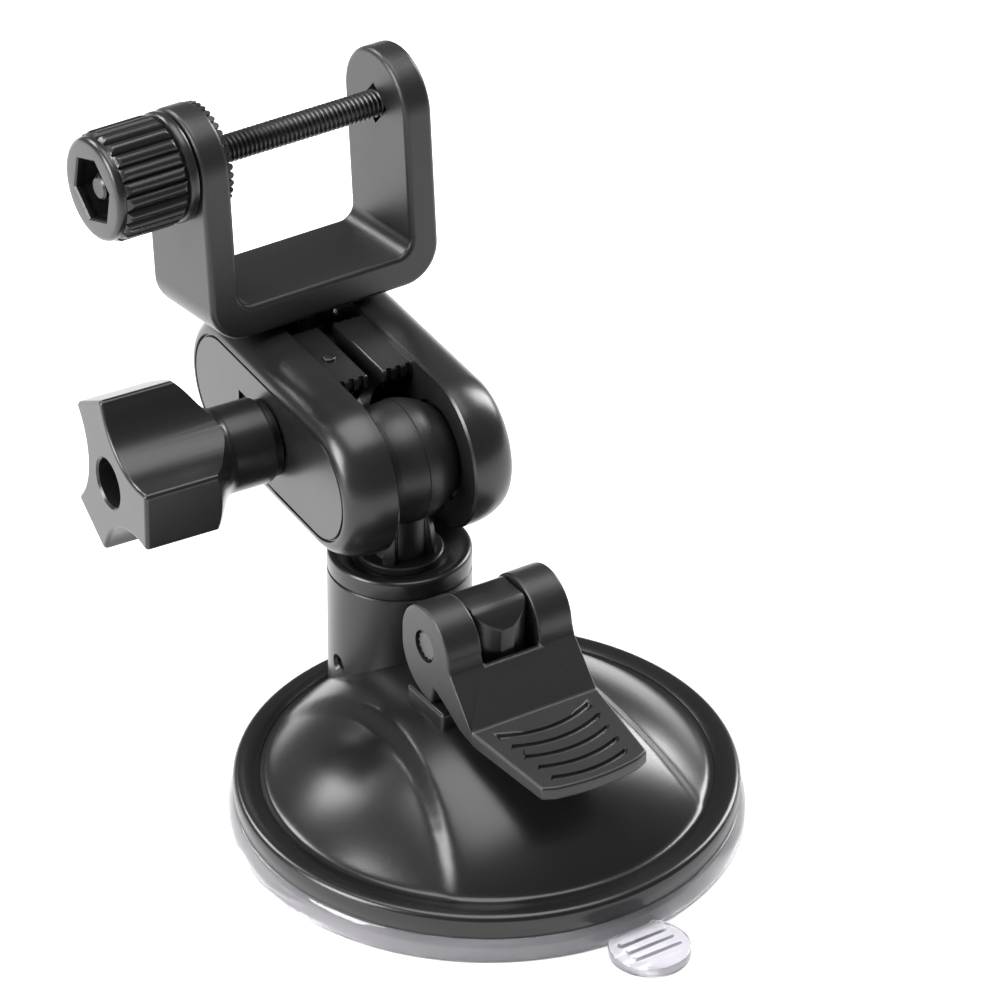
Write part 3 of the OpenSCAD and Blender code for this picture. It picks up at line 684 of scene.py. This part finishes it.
def locking_lever():
    low = PIN_Z - SEAT_TOP - 0.2
    slope = (low - EAR_R) / math.radians(SWING)
    cam = []
    for i in range(16):
        t = math.radians(6 * i)
        h = low - slope * t
        cam.append((h * math.sin(t) - slope * math.cos(t), PIN_Z - h * math.cos(t) - slope * math.sin(t)))
    top = arc(0, PIN_Z, EAR_R, 0, 180, 28)
    side = cam[:-1] + top + [
        (-6.15, PIN_Z - 0.9), (-6.4, PIN_Z - 1.3), (CREASE_Y, CREASE_Z), (TIP_Y - 1, TIP_Z - 0.02),
        (TIP_Y - 1, TIP_Z - 2), (CREASE_Y - 0.8, CREASE_Z - 2.3), (-8.6, PIN_Z - 8.5), (-5.9, PIN_Z - 7.1),
        (-2.4, PIN_Z - 5.4)]
    wide = LEVER_HALF_W
    lever = prism("locking_lever", [(-wide, y, z) for y, z in side], (2 * wide, 0, 0))
    bow = arc(0, TIP_Y + 30, 30, 270 - 12.5, 270 + 12.5, 16)
    plan = [(-wide, 7), (-wide, CREASE_Y), (-8.2, -26.3)] + bow + [(8.2, -26.3), (wide, CREASE_Y), (wide, 7)]
    keep(lever, prism("plan", [(x, y, 0) for x, y in plan], (0, 0, 45)))
    slot = (-SLOT_HALF_W, SLOT_HALF_W)
    cut(lever, block("slot", slot, (-5.9, 15), (0, 45)), block("slot_top", slot, (-17, 5), (PIN_Z - 1.3, 45)))
    cut(lever, bar("pin_hole", "X", PIN_R, -12, 12, (0, PIN_Z), 48),
        bar("pin_mouth", "X", PIN_R + 0.8, -11, -8.6, (0, PIN_Z), 48))
    for i in range(5):
        reach, y = 7.2 - 0.33 * i, -15.8 - 2.55 * i
        top_z = TIP_Z + (CREASE_Z - TIP_Z) * (y - TIP_Y) / (CREASE_Y - TIP_Y)
        groove = bar("groove", "Z", 16.12, top_z - 0.5, top_z + 3, (0, y + 15.7), 160)
        cut(groove, bar("inner", "Z", 15.28, top_z - 1, top_z + 4, (0, y + 15.7), 160))
        keep(groove, block("ends", (-reach, reach), (y - 0.9, y + 4), (0, 45)))
        cut(lever, groove)

    def spared(ends):
        in_groove = all(abs(c.x) < 7.7 and -27.2 < c.y < -14.8 for c in ends)
        return in_groove or all(math.hypot(c.y, c.z - PIN_Z) < 2.6 for c in ends)

    bevel_sharp(lever, 0.4, 3, 34, spared)
    make_smooth(lever, 32)
    return lever


# ------------------------------------------------------------------ bracket, rod and thumb nut

LEG_X = 13.75
OUTER_X = 18.15
UNDER_Z = 11.3
FLOOR_Z = 16.0
HALF_D = 7.8
LEG_TOP = ROD_Z + HALF_D
CORNER_R = 5.5
INNER_CORNER_R = 2.2
TEETH = 40
NUT_R = 7.1 / math.sqrt(3)


def device_bracket():
    body = block("device_bracket", (-OUTER_X, OUTER_X), (-HALF_D, HALF_D), (UNDER_Z, LEG_TOP))

    def lies_along(axis, height):
        def test(ends):
            same = near(ends[0].x, ends[1].x) if axis == "Y" else near(ends[0].y, ends[1].y)
            return same and all(near(c.z, height) for c in ends)
        return test

    bevel_picked(body, lies_along("Y", UNDER_Z), CORNER_R, 14)
    bevel_picked(body, lies_along("X", LEG_TOP), HALF_D - 0.03, 26)
    gap = block("gap", (-LEG_X, LEG_X), (-12, 12), (FLOOR_Z, LEG_TOP + 5))
    bevel_picked(gap, lies_along("Y", FLOOR_Z), INNER_CORNER_R, 10)
    cut(body, gap)
    round_edges(body, 0.8, 4, 34)
    cut(body, bar("rod_hole", "X", 2.12, -25, 25, (0, ROD_Z), 48),
        bar("square", "X", 3.02, LEG_X - 1, LEG_X + 0.8, (0, ROD_Z), 4),
        bar("nut_pocket", "X", NUT_R, OUTER_X - 3.2, OUTER_X + 1, (0, ROD_Z), 6))
    make_smooth(body, 30)
    teeth = []
    for i in range(TEETH):
        tooth = bar("tooth", "Z", 0.36, HALF_D - 2.5, HALF_D - 0.15, sides=10, far_radius=0.52)
        turn = Matrix.Rotation(math.radians(360 / TEETH * i), 4, "X")
        place(tooth, Matrix.Translation((-LEG_X * MM, 0, ROD_Z * MM)) @ turn)
        teeth.append(tooth)
    for tooth in teeth:
        take(tooth)
        bpy.ops.object.shade_smooth_by_angle(angle=math.radians(45))
    gather(body, *teeth)
    place(body, BRACKET)
    return body


THUMB_START = -OUTER_X - 0.3
THUMB_END = THUMB_START - 12.2
ROD_START = THUMB_END + 1
ROD_END = OUTER_X - 1.2
RIBS = 22
HEX_R = 8.3 / math.sqrt(3)
HEX_TURN = -14
PITCH = 0.7


def grooved_thumb_nut():
    outline = []
    for i in range(RIBS * 8):
        turn = 2 * math.pi * i / (RIBS * 8)
        r = 6.85 + 0.8 * abs(math.cos(RIBS * turn / 2)) ** 0.7
        outline.append((THUMB_END + 0.7, r * math.cos(turn), r * math.sin(turn)))
    nut = prism("grooved_thumb_nut", outline, (THUMB_START - THUMB_END - 1.6, 0, 0))
    keep(nut, turned("envelope", [
        (0, THUMB_END + 0.5), (6.7, THUMB_END + 0.9), (7.35, THUMB_END + 1.5), (7.8, THUMB_END + 2.4),
        (7.8, THUMB_START - 2.6), (7.3, THUMB_START - 1.7), (6.8, THUMB_START - 1.2), (0, THUMB_START - 1.0)],
        132, ABOUT_X))
    ends = turned("end_ring", [
        (0, THUMB_END), (6.35, THUMB_END), (6.75, THUMB_END + 0.1), (7.05, THUMB_END + 0.35),
        (7.2, THUMB_END + 0.75), (7.15, THUMB_END + 1.2), (6.9, THUMB_END + 1.5), (0, THUMB_END + 1.6)],
        132, ABOUT_X)
    flange = turned("flange", [
        (0, THUMB_START - 1.5), (7.1, THUMB_START - 1.45), (7.5, THUMB_START - 1.3), (7.7, THUMB_START - 1.0),
        (7.7, THUMB_START - 0.3), (7.6, THUMB_START - 0.08), (7.4, THUMB_START), (0, THUMB_START)],
        132, ABOUT_X)
    for part in (nut, flange):
        cut(part, bar("rod_hole", "X", 2.1, THUMB_END - 1, 1, sides=48))
    cut(nut, bar("nut_seat", "X", NUT_R, THUMB_END - 1, THUMB_END + 7.8, sides=6, turn=HEX_TURN))
    for part in (nut, ends):
        cut(part, bar("hexagon", "X", HEX_R, THUMB_END - 1, THUMB_END + 4.6, sides=6, turn=HEX_TURN))
    cut(ends, bar("hexagon_mouth", "X", 5.05, THUMB_END - 0.02, THUMB_END + 0.26, sides=6, turn=HEX_TURN,
                  far_radius=4.75))
    for part in (nut, ends, flange):
        make_smooth(part, 34)
    gather(nut, ends, flange)
    place(nut, ROD)
    return nut


def long_rod():
    """A core with a real thread wound on it."""
    turns = int((ROD_END - ROD_START - 0.3) / PITCH)
    thread = chain("cross_rod", [(1.62, 0, 0), (1.97, 0, 0.26), (1.97, 0, 0.42), (1.62, 0, PITCH)])
    done()
    apply(thread, "SCREW", "thread", axis="Z", angle=2 * math.pi, screw_offset=PITCH * MM, steps=28,
          render_steps=28, iterations=turns, use_merge_vertices=True, merge_threshold=1e-3 * MM,
          use_normal_calculate=True)
    edit(thread)
    bpy.ops.mesh.select_all(action="SELECT")
    bpy.ops.mesh.normals_make_consistent(inside=False)
    done()
    place(thread, Matrix.Translation(((ROD_START + 0.15) * MM, 0, 0)) @ ABOUT_X)
    core = turned("core", [
        (0, ROD_START), (1.38, ROD_START), (1.66, ROD_START + 0.3), (1.66, ROD_END - 0.3), (1.38, ROD_END),
        (0, ROD_END)], 48, ABOUT_X)
    gather(thread, core)
    place(thread, ROD)
    take(thread)
    bpy.ops.object.shade_smooth_by_angle(angle=math.radians(28))
    return thread


# ------------------------------------------------------------------ assembly

dome_skin, dome_rim = cup_dome()
fit(dome_skin, "cup", "black_plastic", black_dome, "cup_shell")
fit(dome_rim, "cup", "black_plastic", black_dome)
fit(column(), "cup", "black_plastic", black_smooth)
fit(cam_seat(), "cup", "black_plastic", black_smooth)
fit(collar_ring(), "cup", "black_plastic", black_smooth, "column_collar")

lower = ball_with_neck("lower_ball", LOWER_BALL.z / MM - 29.0, True)
place(lower, ARM)
shank = turned("swivel_shank", [
    (0, 10.3), (4.9, 10.3), (4.9, 12.9), (3.85, 12.9), (3.85, 15.1), (4.9, 15.1), (4.9, 28.9), (6, 28.9),
    (6, 29.7), (5.8, 29.9), (0, 29.9)], 96, Matrix.Translation((0, COLUMN_Y * MM, 0)))
make_smooth(shank)
gather(lower, shank)
fit(lower, "stud", "black_plastic", black_grain, "lower_ball_stud")

fit(arm_half("front_arm_half", True), "arm_front", "black_plastic", black_smooth, "arm_front_half")
fit(arm_half("rear_arm_half", False), "arm", "black_plastic", black_smooth, "arm_rear_half")
fit(three_lobed_knob(), "knob", "black_plastic", black_smooth, "clamp_knob")
fit(locking_lever(), "lever", "black_plastic", black_grain, "cam_lever")

bracket = device_bracket()
upper = ball_with_neck("upper_ball", UNDER_Z + 0.5, False)
place(upper, BRACKET)
gather(bracket, upper)
fit(bracket, "bracket", "black_plastic", black_grain, "u_bracket")
fit(grooved_thumb_nut(), "thumb", "black_plastic", black_smooth, "thumb_nut")
fit(long_rod(), "rod", "black_rod", rod_black, "threaded_rod")

MIDDLE_R = 26.5
pad = moulding("suction_pad", "clear_pad_with_tab", 0.25)
middle = pad.copy()
middle.data = pad.data.copy()
middle.name = middle.data.name = "clear_pad_middle"
bpy.context.scene.collection.objects.link(middle)
cut(pad, bar("middle_cutter", "Z", MIDDLE_R, -1, 8, sides=160))
keep(middle, bar("middle_cutter", "Z", MIDDLE_R - 0.05, -1, 8, sides=160))
for part in (pad, middle):
    take(part)
    bpy.ops.object.shade_smooth_by_angle(angle=math.radians(32))
fit(pad, "cup", "clear_pad", clear_pad, "suction_pad")
fit(middle, "cup", "clear_pad", clear_pad)
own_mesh(middle)
post = moulding("plunger", "plunger_post", 0.25)
fit(post, "plunger", "grey_plastic", dark_plastic, "plunger")

SHOWN = {
    "return_spring": zinc_steel, "lever_pin": pin_steel, "cross_pin": pin_steel, "clamp_screw": zinc_steel,
    "clamp_washer": black_washer, "knob_insert": brass, "far_leg_nut": pin_steel,
    "thumb_insert_nut": pin_steel,
}
for name, material in SHOWN.items():
    part = frame["nodes"][name]
    part.data.materials.clear()
    part.data.materials.append(material)

# ------------------------------------------------------------------ stage, light and camera

start_clean()
bpy.ops.mesh.primitive_plane_add(size=6, location=(0, 0, -0.02 * MM))
floor = bpy.context.object
floor.name = "pale_floor"
floor_material, tree, shader = new_material("pale floor")
shader.inputs["Base Color"].default_value = (0.86, 0.86, 0.86, 1)
shader.inputs["Roughness"].default_value = 0.7
floor.data.materials.append(floor_material)

world = bpy.data.worlds.new("studio")
bpy.context.scene.world = world
world.use_nodes = True
world.node_tree.nodes["Background"].inputs["Color"].default_value = (1, 1, 1, 1)
world.node_tree.nodes["Background"].inputs["Strength"].default_value = 0.2


def softbox(name, place, aim, size, power):
    start_clean()
    bpy.ops.object.light_add(type="AREA", location=place)
    light = bpy.context.object
    light.name = name
    light.data.shape = "RECTANGLE"
    light.data.size, light.data.size_y = size
    light.data.energy = power
    light.rotation_euler = (Vector(aim) - Vector(place)).to_track_quat("-Z", "Y").to_euler()


softbox("softbox_top", (0.05, 0.05, 1.3), (0, 0.05, 0), (1.0, 1.0), 17)
softbox("softbox_left", (-0.95, 0.1, 0.5), (0, 0.02, 0.03), (0.5, 0.7), 20)
softbox("softbox_right", (0.8, 0.2, 0.5), (0, 0.02, 0.03), (0.3, 0.6), 9)
softbox("softbox_back", (-0.3, 0.85, 0.75), (0, 0.02, 0.03), (0.5, 0.35), 9)

camera_data = bpy.data.cameras.new("camera")
camera = bpy.data.objects.new("camera", camera_data)
bpy.context.scene.collection.objects.link(camera)
camera_data.sensor_width = 36
camera_data.lens = 212.3
camera_data.clip_start = 0.05
camera_data.clip_end = 20
right = Vector((0.84526, -0.53434, 0.00401))
up = Vector((0.28703, 0.46035, 0.84006))
forward = Vector((0.45072, 0.70892, -0.54248))
turn = Matrix((right, up, -forward)).transposed()
camera.matrix_world = Matrix.Translation((-0.34663, -0.54831, 0.46819)) @ turn.to_4x4()
bpy.context.scene.camera = camera
bpy.context.scene.view_settings.view_transform = "Standard"
